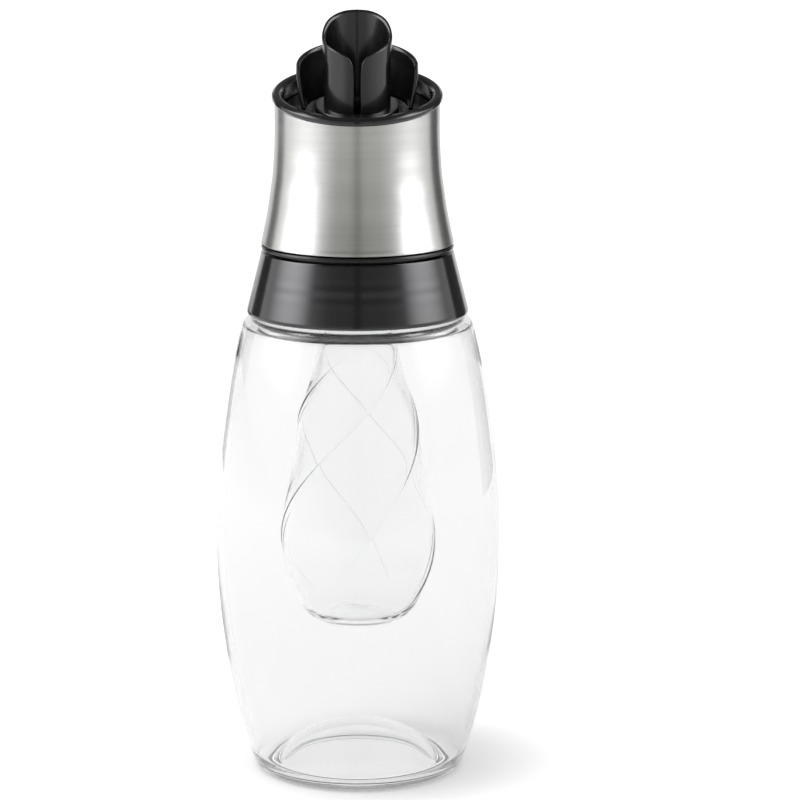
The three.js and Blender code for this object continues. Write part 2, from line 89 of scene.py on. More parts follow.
def settled(name, shape, sharp=35):
    """The shape, drawn in millimetres, as an object in metres that is smooth but for its sharp edges."""
    bmesh.ops.recalc_face_normals(shape, faces=shape.faces)
    bmesh.ops.scale(shape, vec=(0.001, 0.001, 0.001), verts=shape.verts)
    mesh = bpy.data.meshes.new(name)
    shape.to_mesh(mesh)
    shape.free()
    mesh.shade_smooth()
    mesh.set_sharp_from_angle(angle=math.radians(sharp))
    piece = bpy.data.objects.new(name, mesh)
    bpy.context.scene.collection.objects.link(piece)
    return piece


class Shade:
    """One socket of a shader. Arithmetic on it adds the Math nodes that work it out."""

    def __init__(self, tree, socket=None):
        self.tree = tree
        self.socket = socket

    def node(self, kind, settings=None, sockets=None, output=0):
        made = self.tree.nodes.new("ShaderNode" + kind)
        for name, value in (settings or {}).items():
            if name == "stops":
                stops = made.color_ramp.elements
                while len(stops) < len(value):
                    stops.new(1)
                for stop, (position, tone) in zip(stops, value):
                    stop.position = position
                    stop.color = (*tone, 1)
            else:
                setattr(made, name, value)
        for name, value in (sockets or {}).items():
            if isinstance(value, Shade):
                self.tree.links.new(value.socket, made.inputs[name])
            else:
                made.inputs[name].default_value = value
        return Shade(self.tree, made.outputs[output] if made.outputs else None)

    def math(self, operation, first, second=0.0):
        return self.node("Math", {"operation": operation}, {0: first, 1: second})

    def __add__(self, other):
        return self.math("ADD", self, other)

    __radd__ = __add__

    def __sub__(self, other):
        return self.math("SUBTRACT", self, other)

    def __rsub__(self, other):
        return self.math("SUBTRACT", other, self)

    def __mul__(self, other):
        return self.math("MULTIPLY", self, other)

    __rmul__ = __mul__


def finish(name):
    """A new material, and a shade to start its nodes from."""
    material = bpy.data.materials.new(name)
    material.use_nodes = True
    material.node_tree.nodes.clear()
    return material, Shade(material.node_tree)


punt_arc = 32.3
punt_height = 11
base_thickness = 2.2


def punt(radius, offset):
    """A point on the round punt, offset to the inside of the bottle."""
    return radius, math.sqrt((punt_arc + offset) ** 2 - radius**2) + punt_height - punt_arc


bottle_punt = [punt(radius, 0) for radius in np.linspace(0, 23.4, 20)]
bottle_foot = [(23.9, 0.42), (24.2, 0.15), (24.6, 0), (27.6, 0)]
bottle_heel = flowing([(28.2, 0.04), (29.8, 0.45), (31.1, 1.5), (31.9, 3.1), (33.2, 7)], steps=4)
bottle_side = flowing(
    [
        (33.2, 7),
        (36.2, 17.7),
        (39.2, 33),
        (41.3, 49),
        (42.3, 68),
        (41.6, 88),
        (39.4, 107),
        (36.5, 124.6),
        (34.4, 133.8),
    ],
    steps=10,
)
bottle_shoulder = flowing(
    [
        (34.4, 133.8),
        (33.95, 135.1),
        (33.3, 136.3),
        (32.4, 137.2),
        (31.3, 137.75),
        (30.3, 138),
        (29.3, 138.12),
        (28.2, 138.2),
    ],
    steps=4,
)
bottle_neck = [(27, 138.4), (26.4, 138.7), (26.1, 139.2), (26, 139.8), (26, 151.1)]
bottle_lip = [
    (25.8, 151.6),
    (25.3, 151.9),
    (24.8, 152),
    (24.3, 151.9),
    (23.75, 151.6),
    (23.5, 151.1),
]
ledge_radius = 25.4
ledge_height = 137.07
ledge_slope = 0.36
bottle_throat = flowing([(23.5, 139.6), (23.6, 138.3), (24.2, 137.6), (ledge_radius, ledge_height)], steps=4)
ledge_steps = np.linspace(0.5, 5.5, 11)
bottle_ledge = [(ledge_radius + step, ledge_height - ledge_slope * step) for step in ledge_steps]
bottle_inside = flowing(
    [
        (31.4, 134.91),
        (32.15, 134.45),
        (32.6, 133.7),
        (33, 132.3),
        (34.7, 123.6),
        (37.6, 106),
        (39.8, 87),
        (40.5, 68),
        (39.5, 49),
        (37.4, 33.6),
        (34.4, 18.2),
        (31.9, 8.6),
        (30.9, 5.2),
        (29.4, 3.2),
        (27.6, 2.35),
        (25.9, 2.5),
        punt(24, base_thickness),
    ],
    steps=6,
)
bottle_floor = [punt(radius, base_thickness) for radius in np.linspace(23, 0, 20)]
bottle_outline = (
    bottle_punt
    + bottle_foot
    + bottle_heel
    + bottle_side[1:]
    + bottle_shoulder[1:]
    + bottle_neck
    + bottle_lip
    + bottle_throat
    + bottle_ledge
    + bottle_inside
    + bottle_floor
)
shape = bmesh.new()
turned(shape, bottle_outline, segments=192)
bottle = settled("bottle_body", shape, sharp=60)

clear_glass, shade = finish("clear_glass")
spot = shade.node("TexCoord", output="Object")
drift = shade.node("TexNoise", sockets={"Vector": spot, "Scale": 24.0, "Detail": 1.0})
ripple = shade.node("Bump", sockets={"Strength": 1.0, "Distance": 0.0002, "Height": drift})
smear = shade.node("TexNoise", sockets={"Vector": spot, "Scale": 70.0, "Detail": 4.0})
tint_stops = [(0.3, (0.984, 0.986, 0.985)), (0.7, (0.992, 0.994, 0.993))]
tint = shade.node("ValToRGB", {"stops": tint_stops}, {"Fac": drift})
glass_sockets = {
    "Base Color": tint,
    "Roughness": 0.025 * smear,
    "IOR": 1.5,
    "Transmission Weight": 1.0,
    "Normal": ripple,
}
glass = shade.node("BsdfPrincipled", sockets=glass_sockets)
depth_tint = shade.node("VolumeAbsorption", sockets={"Color": (0.1, 0.12, 0.11, 1), "Density": 2.5})
shade.node("OutputMaterial", sockets={"Surface": glass, "Volume": depth_tint})
bottle.data.materials.append(clear_glass)
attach(bottle, "bottle")
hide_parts("bottle_body")

# Vinegar flask
# The flask is the same clear glass, blown in a mould with four ridges that wind up its pear-shaped wall.
# Its round neck is pushed up into the silicone seal under the stopper, so that it hangs inside the bottle.
flask_foot = [(0, 46), (4, 45.95), (7, 45.8), (9, 45.66), (10.5, 45.6)]
flask_side = flowing(
    [
        (10.5, 45.6),
        (12.6, 45.85),
        (14.7, 46.9),
        (16.7, 48.9),
        (18.7, 52),
        (21.8, 60),
        (22.9, 70),
        (22, 84),
        (20, 96),
        (17.4, 108),
        (14.1, 120.5),
        (11.2, 131),
        (10, 138),
    ],
    steps=9,
)
flask_mouth = [(10, 149.8), (9.85, 150.25), (9.5, 150.5), (8.8, 150.5), (8.45, 150.25), (8.3, 149.8)]
flask_inside = flowing(
    [
        (8.3, 136.5),
        (9.6, 130),
        (12.5, 120),
        (15.8, 107.4),
        (18.4, 95.5),
        (20.4, 83.4),
        (21.3, 70),
        (20.3, 60.6),
        (17.5, 53.1),
        (15.6, 50.1),
        (13.7, 48.6),
        (11.8, 47.9),
        (9.6, 47.65),
        (5.6, 47.75),
        (2.5, 47.8),
        (0, 47.8),
    ],
    steps=8,
)
ridge_depth = 1.0
ridge_pinch = 0.21
outer_crease = 0.03
inner_crease = 0.3
bead_height = 0.2
bead_width = 0.11
ridge_foot = 47.6
ridge_growth = 10.4
ridge_end = 112
ridge_fade = 22
half_wall = 0.8
swirl_step = 0.5
lean_heights = [60, 110]
lean_slopes = [0.66, 0.98]
front_ridge = 70
flask_line = np.array(flask_side)
swirl_heights = np.arange(44, 152, swirl_step)
ridge_lean = np.interp(swirl_heights, lean_heights, lean_slopes)
swirl_radii = np.interp(swirl_heights, flask_line[:, 1], flask_line[:, 0])
swirl_turns = np.cumsum(swirl_step * ridge_lean / swirl_radii)
swirl_turns += -math.pi / 2 - np.interp(front_ridge, swirl_heights, swirl_turns)


def swirled(x, y, z):
    """Winds four ridges into the flask's wall, which die out at its foot and in its neck."""
    radius = math.hypot(x, y)
    if radius < 0.001:
        return x, y, z
    grown = min(max((z - ridge_foot) / ridge_growth, 0), 1)
    faded = min(max((z - ridge_end) / ridge_fade, 0), 1)
    depth = ridge_depth * grown**2 * (3 - 2 * grown) * (1 - faded**2 * (3 - 2 * faded))
    angle = math.atan2(y, x)
    crest = math.sin(2 * angle) / bead_width
    angle -= ridge_pinch * math.sin(4 * angle)
    fold = math.sin(2 * angle)
    outside = radius > np.interp(z, flask_line[:, 1], flask_line[:, 0]) - half_wall
    crease = outer_crease if outside else inner_crease
    hollow = (math.hypot(fold, crease) - crease) / (math.hypot(1, crease) - crease)
    bead = bead_height * math.exp(-(crest**2)) if outside else 0
    radius -= depth * (hollow - bead)
    angle += np.interp(z, swirl_heights, swirl_turns)
    return radius * math.cos(angle), radius * math.sin(angle), z


shape = bmesh.new()
turned(shape, flask_foot[:-1] + flask_side + flask_mouth + flask_inside, segments=448, place=swirled)
flask = settled("vinegar_flask", shape, sharp=60)
flask.data.materials.append(clear_glass)
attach(flask, "flask")
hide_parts("vinegar_flask")

# Neck collar
# The collar is a gloss black moulding, a plain cone that hides the neck and snaps over the plate of the plug.
# Its foot is rounded over just above the glass shoulder, and slight waves from the mould run round it.


def eased(corners, steps=4):
    """A closed outline from corners of radius, height and rounding."""
    outline = []
    for i, (radius, height, rounding) in enumerate(corners):
        corner = Vector((radius, height))
        back = (Vector(corners[i - 1][:2]) - corner).normalized()
        ahead = (Vector(corners[(i + 1) % len(corners)][:2]) - corner).normalized()
        reach = rounding / math.tan(back.angle(ahead) / 2) if rounding else 0
        if not reach:
            outline.append((radius, height))
            continue
        for step in range(steps + 1):
            t = step / steps
            outline.append(tuple(corner + reach * ((1 - t) ** 2 * back + t**2 * ahead)))
    return outline


def black_moulding(name, tone, roughness, grain):
    """Black plastic of a tone and a roughness, with a mould grain of a depth in metres."""
    material, shade = finish(name)
    spot = shade.node("TexCoord", output="Object")
    cloud = shade.node("TexNoise", sockets={"Vector": spot, "Scale": 45.0, "Detail": 3.0})
    speck = shade.node("TexNoise", sockets={"Vector": spot, "Scale": 900.0, "Detail": 2.0})
    tones = [(0.3, tone), (0.75, [1.35 * part for part in tone])]
    colour = shade.node("ValToRGB", {"stops": tones}, {"Fac": cloud})
    skin = shade.node("Bump", sockets={"Strength": 1.0, "Distance": grain, "Height": speck})
    sockets = {
        "Base Color": colour,
        "Roughness": roughness + 0.06 * cloud,
        "IOR": 1.5,
        "Specular Tint": (0.97, 0.96, 1, 1),
        "Coat Weight": 0.6,
        "Coat Roughness": 0.12,
        "Normal": skin,
    }
    shade.node("OutputMaterial", sockets={"Surface": shade.node("BsdfPrincipled", sockets=sockets)})
    return material


gloss_tone = (0.0105, 0.0102, 0.0122)
black_gloss = black_moulding("black_gloss", gloss_tone, roughness=0.13, grain=0.000001)
collar_foot = 139.6
collar_rise = 16.8
collar_foot_radius = 32.65
collar_draw = 4.25
wave_height = 148.5
wave_length = 4.2
wave_spread = 3
wave_depth = 0.018
wave_end = 156


def collar_wave(x, y, z):
    """The slight waves of the moulded wall."""
    if z <= collar_foot or z >= wave_end:
        return x, y, z
    above = z - wave_height
    swell = wave_depth * math.sin(2 * math.pi * above / wave_length) * math.exp(-((above / wave_spread) ** 2))
    share = 1 + swell / math.hypot(x, y)
    return x * share, y * share, z


wall_steps = np.linspace(0, 1, 61)[1:-1]
collar_wall = [(collar_foot_radius - collar_draw * t, collar_foot + collar_rise * t, 0) for t in wall_steps]
collar_corners = [
    (31, 138.4, 0.15),
    (32.95, 138.4, 0.95),
    *collar_wall,
    (28.3, 156.8, 0.25),
    (24.6, 156.8, 0.25),
    (24.6, 155.8, 0.1),
    (26.9, 155.8, 0),
    (26.9, 153.5, 0.1),
]
shape = bmesh.new()
turned(shape, eased(collar_corners), segments=160, place=collar_wave)
collar = settled("neck_collar", shape)
collar.data.materials.append(black_gloss)
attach(collar, "stopper")
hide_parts("neck_collar")

# Stopper plug
# The plug is a satin black moulding in one piece: a plate with two ports that seats the valve, a bearing wall
# for the head above it, and below it a ribbed skirt for the bottle's neck and a socket for the flask.


def pierced(shape, radii, holes, bottom, top, place=None):
    """A flat disc through rings of radii, with holes of inner and outer radius, first and last degree."""
    steps = 120
    rows = []
    for radius in radii:
        angles = [2 * math.pi * j / steps for j in range(steps if radius else 1)]
        rows.append([shape.verts.new((radius * math.cos(a), radius * math.sin(a), bottom)) for a in angles])
    faces = []
    for radius, near, far in zip(radii, rows, rows[1:]):
        for j in range(steps):
            middle = (j + 0.5) * 360 / steps
            if any(low <= radius < high and first < middle < last for low, high, first, last in holes):
                continue
            k = j + 1
            corners = [near[j % len(near)], far[j % len(far)], far[k % len(far)], near[k % len(near)]]
            faces.append(shape.faces.new(list(dict.fromkeys(corners))))
    lower = {vertex for face in faces for vertex in face.verts}
    grown = bmesh.ops.extrude_face_region(shape, geom=faces, use_keep_orig=True)["geom"]
    upper = [item for item in grown if isinstance(item, bmesh.types.BMVert)]
    for vertex in upper:
        vertex.co.z = top
    if place:
        for vertex in [*lower, *upper]:
            vertex.co = place(*vertex.co)


plug_bearing = [
    (21.6, 155.3, 0),
    (23.4, 155.3, 0),
    (23.4, 160.7, 0.15),
    (22.55, 160.7, 0.1),
    (22.55, 162.3, 0.1),
    (23.4, 162.3, 0.15),
    (23.4, 163, 0.25),
    (21.6, 163, 0.25),
]
plug_skirt = [
    (19.6, 152.6, 0),
    (19.6, 141, 0.3),
    (21.2, 141, 0.3),
    (22.4, 142.5, 0.3),
    (22.4, 143.5, 0.3),
    (21.2, 143.5, 0.15),
    (21.2, 146, 0.15),
    (22.4, 146, 0.3),
    (22.4, 147, 0.3),
    (21.2, 147, 0.15),
    (21.2, 149.5, 0.15),
    (22.4, 149.5, 0.3),
    (22.4, 152.6, 0),
]
plug_socket = [(11.6, 152.6, 0), (11.6, 138.8, 0.3), (13, 138.8, 0.3), (13, 152.6, 0)]
plate_rings = [0, 3.5, 7.8, 14, 18.4, 26.6]
plate_ports = [(14, 18.4, 70, 110), (3.5, 7.8, 250, 290)]
shape = bmesh.new()
pierced(shape, plate_rings, plate_ports, bottom=152.5, top=155.5)
for corners in (plug_bearing, plug_skirt, plug_socket):
    turned(shape, eased(corners), segments=128)
plug = settled("stopper_plug", shape)
satin_tone = (0.008, 0.008, 0.009)
black_satin = black_moulding("black_satin", satin_tone, roughness=0.36, grain=0.00001)
plug.data.materials.append(black_satin)
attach(plug, "stopper")
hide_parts("stopper_plug")

# Silicone seals
# Two translucent grey silicone rings with a blunt lip sit between the ribs of the skirt and grip the neck.
# A longer sleeve with a top flange lines the socket and grips the neck of the flask.
silicone, shade = finish("silicone")
spot = shade.node("TexCoord", output="Object")
milk = shade.node("TexNoise", sockets={"Vector": spot, "Scale": 120.0, "Detail": 3.0})
milk_stops = [(0.3, (0.55, 0.56, 0.56)), (0.7, (0.66, 0.67, 0.67))]
bloom = shade.node("ValToRGB", {"stops": milk_stops}, {"Fac": milk})
dust = shade.node("TexNoise", sockets={"Vector": spot, "Scale": 1600.0, "Detail": 1.0})
nap = shade.node("Bump", sockets={"Strength": 1.0, "Distance": 0.000008, "Height": dust})
rubber_sockets = {"Base Color": bloom, "Roughness": 0.42 + 0.15 * milk, "IOR": 1.42, "Normal": nap}
rubber_sockets["Subsurface Weight"] = 0.25
rubber_sockets["Subsurface Radius"] = (0.002, 0.002, 0.002)
shade.node("OutputMaterial", sockets={"Surface": shade.node("BsdfPrincipled", sockets=rubber_sockets)})

for name, low, high in (("mouth_seal_upper", 147.3, 149.2), ("mouth_seal_lower", 143.8, 145.7)):
    seal_corners = [
        (21.5, low, 0.2),
        (22.6, low, 0.3),
        (23.2, (low + high) / 2, 0.25),
        (22.6, high, 0.3),
        (21.5, high, 0.2),
    ]
    shape = bmesh.new()
    turned(shape, eased(seal_corners), segments=128)
    seal = settled(name, shape)
    seal.data.materials.append(silicone)
    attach(seal, "stopper")
    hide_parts(name)

flask_seal_corners = [
    (10.3, 139.2, 0.25),
    (11.3, 139.2, 0.25),
    (11.3, 152.2, 0.2),
    (8.3, 152.2, 0.3),
    (8.3, 150.8, 0.3),
    (10.3, 150.8, 0.2),
]
shape = bmesh.new()
turned(shape, eased(flask_seal_corners), segments=96)
flask_seal = settled("flask_seal", shape)
flask_seal.data.materials.append(silicone)
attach(flask_seal, "stopper")
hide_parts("flask_seal")

# Rotary valve and ducts
# A silicone gasket lies on the plug's plate and a satin black rotor turns over it, under two moulded ducts
# that lead to the deck. A liner carries the head on the bearing. All of it is sealed inside the steel sleeve.
sealed_pieces = {
    "valve_gasket": (silicone, "silicone"),
    "valve_rotor": (black_satin, "black_moulding"),
    "vinegar_duct": (black_satin, "black_moulding"),
    "oil_duct": (black_satin, "black_moulding"),
    "sleeve_liner": (black_satin, "black_moulding"),
}
for name, (material, slot) in sealed_pieces.items():
    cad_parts[name].data.materials.clear()
    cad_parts[name].data.materials.append(material)

# Retaining ring
# A split ring of flat spring steel snaps into the bearing's groove and keeps the liner's foot down.
spring_steel, shade = finish("spring_steel")
spot = shade.node("TexCoord", output="Object")
scale = shade.node("TexNoise", sockets={"Vector": spot, "Scale": 260.0, "Detail": 4.0})
steel_stops = [(0.3, (0.50, 0.51, 0.52)), (0.7, (0.62, 0.63, 0.64))]
bluing = shade.node("ValToRGB", {"stops": steel_stops}, {"Fac": scale})
ring_sockets = {"Base Color": bluing, "Metallic": 1.0, "Roughness": 0.3 + 0.15 * scale}
shade.node("OutputMaterial", sockets={"Surface": shade.node("BsdfPrincipled", sockets=ring_sockets)})
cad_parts["retaining_ring"].data.materials.clear()
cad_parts["retaining_ring"].data.materials.append(spring_steel)

# Slip ring
# A thin dark grey ring fills the seam between the collar and the turning head and takes their rubbing.
dark_ring, shade = finish("dark_ring")
spot = shade.node("TexCoord", output="Object")
rub = shade.node("TexNoise", sockets={"Vector": spot, "Scale": 300.0, "Detail": 3.0})
ring_stops = [(0.3, (0.010, 0.010, 0.011)), (0.7, (0.018, 0.018, 0.019))]
wear = shade.node("ValToRGB", {"stops": ring_stops}, {"Fac": rub})
slip_sockets = {"Base Color": wear, "Roughness": 0.16 + 0.1 * rub, "IOR": 1.5}
shade.node("OutputMaterial", sockets={"Surface": shade.node("BsdfPrincipled", sockets=slip_sockets)})
slip_corners = [
    (24.5, 157.3, 0.1),
    (27.2, 157.3, 0.1),
    (27.2, 157.95, 0.1),
    (28.4, 157.95, 0.2),
    (28.2, 158.75, 0.2),
    (24.5, 158.75, 0.1),
]
shape = bmesh.new()
turned(shape, eased(slip_corners, steps=8), segments=160)
slip_ring = settled("slip_ring", shape)
slip_ring.data.materials.append(dark_ring)
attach(slip_ring, "stopper")
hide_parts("slip_ring")

# Steel sleeve
# The sleeve is thin stainless steel, spun to a flared foot and a straight waist and cut on a slant on top.
# It is brushed round and round, so fine level lines cover it, and it is pressed over the liner.
slant = 0.21
slant_start = 184
slant_growth = 17.5
sheet_thickness = 0.8
sleeve_side = flowing(
    [
        (28.1, 160.4),
        (27, 165.7),
        (26.2, 170),
        (25.5, 174.8),
        (24.9, 179),
        (24.5, 184),
        (24.2, 190),
        (24.15, 195),
        (24.15, 201.3),
    ],
    steps=8,
)


def slant_cut(x, y, z):
    """Tips the top of the sleeve, which stays level at its foot."""
    share = min(max((z - slant_start) / slant_growth, 0), 1)
    return x, y, z + slant * y * share


sleeve_foot = [(27.5, 159.35), (27.65, 159.2), (28.15, 159.2), (28.3, 159.35), (28.25, 159.9)]
sleeve_edge = [(24.0, 201.5), (23.5, 201.5)]
sleeve_back = [(radius - sheet_thickness, height) for radius, height in reversed(sleeve_side)]
shape = bmesh.new()
turned(shape, sleeve_foot + sleeve_side + sleeve_edge + sleeve_back, segments=192, place=slant_cut)
sleeve = settled("steel_sleeve", shape)

brushed_steel, shade = finish("brushed_steel")
spot = shade.node("TexCoord", output="Object")
along = shade.node("VectorMath", {"operation": "MULTIPLY"}, {0: spot, 1: (14.0, 14.0, 5200.0)})
hairs = shade.node("TexNoise", sockets={"Vector": along, "Scale": 1.0, "Detail": 2.0})
broad = shade.node("VectorMath", {"operation": "MULTIPLY"}, {0: spot, 1: (22.0, 22.0, 900.0)})
bands = shade.node("TexNoise", sockets={"Vector": broad, "Scale": 1.0, "Detail": 3.0})
steel_stops = [(0.25, (0.6, 0.6, 0.59)), (0.75, (0.66, 0.66, 0.65))]
colour = shade.node("ValToRGB", {"stops": steel_stops}, {"Fac": 0.5 * hairs + 0.5 * bands})
brush = shade.node("Bump", sockets={"Strength": 1.0, "Distance": 0.0000015, "Height": hairs})
steel_sockets = {
    "Base Color": colour,
    "Metallic": 1.0,
    "Roughness": 0.26 + 0.05 * bands,
    "Anisotropic": 0.5,
    "Anisotropic Rotation": 0.25,
    "Normal": brush,
}
shade.node("OutputMaterial", sockets={"Surface": shade.node("BsdfPrincipled", sockets=steel_sockets)})
sleeve.data.materials.append(brushed_steel)
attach(sleeve, "pour_head")
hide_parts("steel_sleeve")

# Rim ring
# A gloss black ring caps the slanted edge of the steel, with rounded edges and a skirt that walls the well.


def tipped(x, y, z):
    """Tips a level piece of the head to the slant of its top."""
    return x, y, z + slant * y


rim_corners = [
    (22, 196.8, 0.2),
    (23.05, 196.8, 0.1),
    (23.05, 201.8, 0.1),
    (24.7, 201.8, 0.25),
    (25, 202.2, 0.25),
    (24.95, 203.1, 0.5),
    (24, 203.75, 0.9),
    (22.7, 203.65, 0.8),
    (22, 202.8, 0.5),
]
shape = bmesh.new()
turned(shape, eased(rim_corners, steps=6), segments=192, place=tipped)
rim_ring = settled("rim_ring", shape)
rim_ring.data.materials.append(black_gloss)
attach(rim_ring, "pour_head")
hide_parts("rim_ring")

# Pour deck
# The deck is a gloss black disc at the bottom of the well, with a round hole for the central spout and a
# curved slot behind it that lets the oil up into the trough.
deck_rings = [8.3, 11.6, 13.9, 21.7]
deck_slots = [(11.6, 13.9, 45, 135)]
shape = bmesh.new()
pierced(shape, deck_rings, deck_slots, bottom=196.7, top=198.7, place=tipped)
deck = settled("pour_deck", shape)
edges = deck.modifiers.new("eased edges", "BEVEL")
edges.width = 0.0003
edges.segments = 2
edges.angle_limit = math.radians(50)
deck.data.materials.append(black_gloss)
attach(deck, "pour_head")
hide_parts("pour_deck")

# Vinegar spout
# The central spout is a gloss black tube with an oblique rim that dips to a notch and a slit at the front.
# It stands on a thin flange on the deck, and its spigot goes through the deck into the duct.


def rounded(distance, radius):
    """How deep a rounded corner is cut at a distance from the edge."""
    inset = 1 - min(distance / radius, 1)
    return radius * (1 - math.sqrt(1 - inset**2))


def lipped(shape, columns, rows, spot, wall):
    """A wall with eased free edges. At a column and row, spot gives the wall's middle, its outward way, and
    for each edge how far it is and how much the outer and the inner corner are rounded there."""
    faces = {1: [], -1: []}
    for row in rows:
        for side, grid in faces.items():
            line = []
            for column in columns:
                middle, outward, edges = spot(column, row)
                cuts = [rounded(distance, outer if side > 0 else inner) for distance, outer, inner in edges]
                line.append(shape.verts.new(middle + outward * (wall / 2 - max(cuts)) * side))
            grid.append(line)
    for grid in faces.values():
        for low, high in zip(grid, grid[1:]):
            for i in range(len(columns) - 1):
                shape.faces.new([low[i], low[i + 1], high[i + 1], high[i]])
    borders = []
    for grid in faces.values():
        first = [line[0] for line in grid[-2:0:-1]]
        last = [line[-1] for line in grid[1:]]
        borders.append(grid[0] + last + grid[-1][-2::-1] + first)
    for i in range(len(borders[0])):
        shape.faces.new([borders[0][i - 1], borders[0][i], borders[1][i], borders[1][i - 1]])


edge_steps = [0, 0.02, 0.07, 0.15, 0.3, 0.5, 0.8]
spout_wall = 1.1
spout_radius = 9.25
spout_foot = 199.4
spout_flare = 0.55
flare_start = 209
flare_growth = 14
lip_height = 4
degree_length = 0.165
slit_half_angle = 6.1
rim_roundings = (0.25, 0.8)
slit_roundings = (0.25, 0.25)
spout_rim = flowing(
    [
        (slit_half_angle, 208.2),
        (6.5, 210.1),
        (7.5, 211.8),
        (9.6, 213),
        (13, 213.9),
        (18, 214.65),
        (25, 215.25),
        (43, 216.4),
        (68, 217.9),
        (90, 219.6),
        (122, 223.8),
        (139, 225.2),
        (158, 226.2),
        (180, 226.5),
    ],
    steps=8,
)
rim_angles, rim_heights = np.array(spout_rim).T
front_half = [slit_half_angle + step / degree_length for step in edge_steps]
front_half += [11.5, 14, 17, 21, 26] + list(np.arange(31, 180, 5))
spout_columns = front_half + [180] + [360 - angle for angle in reversed(front_half)]
spout_rows = [("up", i / 16) for i in range(16)]
spout_rows += [("down", step) for step in (lip_height, 2.6, 1.6, 1, *reversed(edge_steps))]


def spout_spot(angle, row):
    """A point on the middle of the central spout's wall."""
    from_front = min(angle, 360 - angle)
    way = Vector((math.sin(math.radians(angle)), -math.cos(math.radians(angle)), 0))
    rim = np.interp(from_front, rim_angles, rim_heights)
    climb = np.interp([from_front - 0.5, from_front + 0.5], rim_angles, rim_heights)
    steepness = (climb[1] - climb[0]) / degree_length
    foot = spout_foot + slant * spout_radius * way.y
    rule, amount = row
    height = rim - amount if rule == "down" else foot + (rim - lip_height - foot) * amount
    flare = min(max((height - flare_start) / flare_growth, 0), 1)
    radius = spout_radius + spout_flare * flare**2 * (3 - 2 * flare)
    below = (rim - height) / math.hypot(1, steepness)
    beside = math.radians(from_front - slit_half_angle) * radius
    edges = [(below, *rim_roundings), (beside, *slit_roundings)]
    return Vector((way.x * radius, way.y * radius, height)), way, edges


black_sheen = black_moulding("black_sheen", gloss_tone, roughness=0.21, grain=0.000001)
shape = bmesh.new()
lipped(shape, spout_columns, spout_rows, spout_spot, spout_wall)
flange_corners = [(8.6, 199, 0.1), (12.3, 199, 0.15), (12.3, 199.8, 0.35), (8.6, 199.8, 0.1)]
flange_sweep = (138, 402)
turned(shape, eased(flange_corners), segments=120, place=tipped, sweep=flange_sweep)
spigot_corners = [(6.9, 194, 0.2), (8, 194, 0.2), (8, 199.3, 0.1), (8.7, 199.8, 0.1), (6.9, 199, 0.2)]
turned(shape, eased(spigot_corners), segments=96, place=tipped)
vinegar_spout = settled("vinegar_spout", shape, sharp=45)
vinegar_spout.data.materials.append(black_sheen)
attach(vinegar_spout, "pour_head")
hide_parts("vinegar_spout")

# Oil spout
# A half-round gloss black trough stands on the deck behind the central spout and holds the oil together. Its
# wall bellies out from the deck, and its rim and the corners of its two front edges are rounded.
trough_wall = 1.3
trough_foot = 199
trough_rim = 211.7
trough_height = trough_rim - trough_foot
trough_lip = 3.4
trough_corner = 2
trough_overhang = 1
trough_rise = 0.087
trough_tilt = 0.96
trough_rim_roundings = (0.4, 0.85)
trough_end_roundings = (0.6, 0.6)
trough_points = [(16.3, trough_foot), (16.9, 202), (17.45, 205.5), (17.75, 208.5), (17.75, trough_rim)]
trough_side = np.array(flowing(trough_points, steps=8))
trough_rows = [("up", i / 14) for i in range(14)]
lip_steps = (trough_lip, 2.4, 1.7, 1.2, 0.85, 0.55, 0.3, 0.15, 0.07, 0.02, 0)
trough_rows += [("down", step) for step in lip_steps]
end_steps = [0, 0.02, 0.07, 0.15, 0.3, 0.65, 1.2, 2, 3.2]
trough_columns = [("left", step) for step in end_steps]
trough_columns += [("across", i / 40) for i in range(1, 40)]
trough_columns += [("right", step) for step in reversed(end_steps)]


def trough_spot(column, row):
    """A point on the middle of the oil trough's wall."""
    rule, amount = row
    below = amount if rule == "down" else trough_height - (trough_height - trough_lip) * amount
    height = trough_rim - below
    radius = np.interp(height, trough_side[:, 1], trough_side[:, 0]) - trough_wall / 2
    pulled = trough_corner - math.sqrt(trough_corner**2 - max(trough_corner - below, 0) ** 2)
    start = -math.asin(trough_overhang / radius) + pulled / radius
    length = (math.pi - 2 * start) * radius
    rule, amount = column
    if rule == "across":
        reach = end_steps[-1] + (length - 2 * end_steps[-1]) * amount
    else:
        reach = amount if rule == "left" else length - amount
    angle = start + reach / radius
    way = Vector((math.cos(angle), math.sin(angle), 0))
    y = way.y * radius
    share = (height - trough_foot) / trough_height
    lifted = height + y * (slant + trough_rise * share)
    edges = [(trough_tilt * below, *trough_rim_roundings)]
    edges += [(distance, *trough_end_roundings) for distance in (reach, length - reach)]
    return Vector((way.x * radius, y, lifted)), way, edges


shape = bmesh.new()
lipped(shape, trough_columns, trough_rows, trough_spot, trough_wall)
oil_spout = settled("oil_spout", shape, sharp=45)
oil_spout.data.materials.append(black_sheen)
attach(oil_spout, "pour_head")
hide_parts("oil_spout")

# Table
# A wide white sheet of paper lies under the bottle and runs on behind it. Its glow is weaker near
# the bottle, and a painted shadow darkens it in a thin band round the foot. Seen mirrored or through
# the glass, it has a painted dark ring where the foot rests and a painted glow under the punt.
# A second sheet, in front, is only seen through the glass.
white_paper, shade = finish("white_paper")
spot = shade.node("TexCoord", output="Object")
fibre = shade.node("TexNoise", sockets={"Vector": spot, "Scale": 400.0, "Detail": 3.0})
paper_stops = [(0.3, (0.91, 0.91, 0.91)), (0.7, (0.93, 0.93, 0.93))]
paper = shade.node("ValToRGB", {"stops": paper_stops}, {"Fac": fibre})
matt = shade.node("BsdfDiffuse", sockets={"Color": paper})
away = shade.node("VectorMath", {"operation": "LENGTH"}, {0: spot}, "Value")
near_range = {"Value": away, "From Min": 0.033, "From Max": 0.08, "To Min": 0.55}
near_glow = shade.node("MapRange", {}, near_range, "Result")
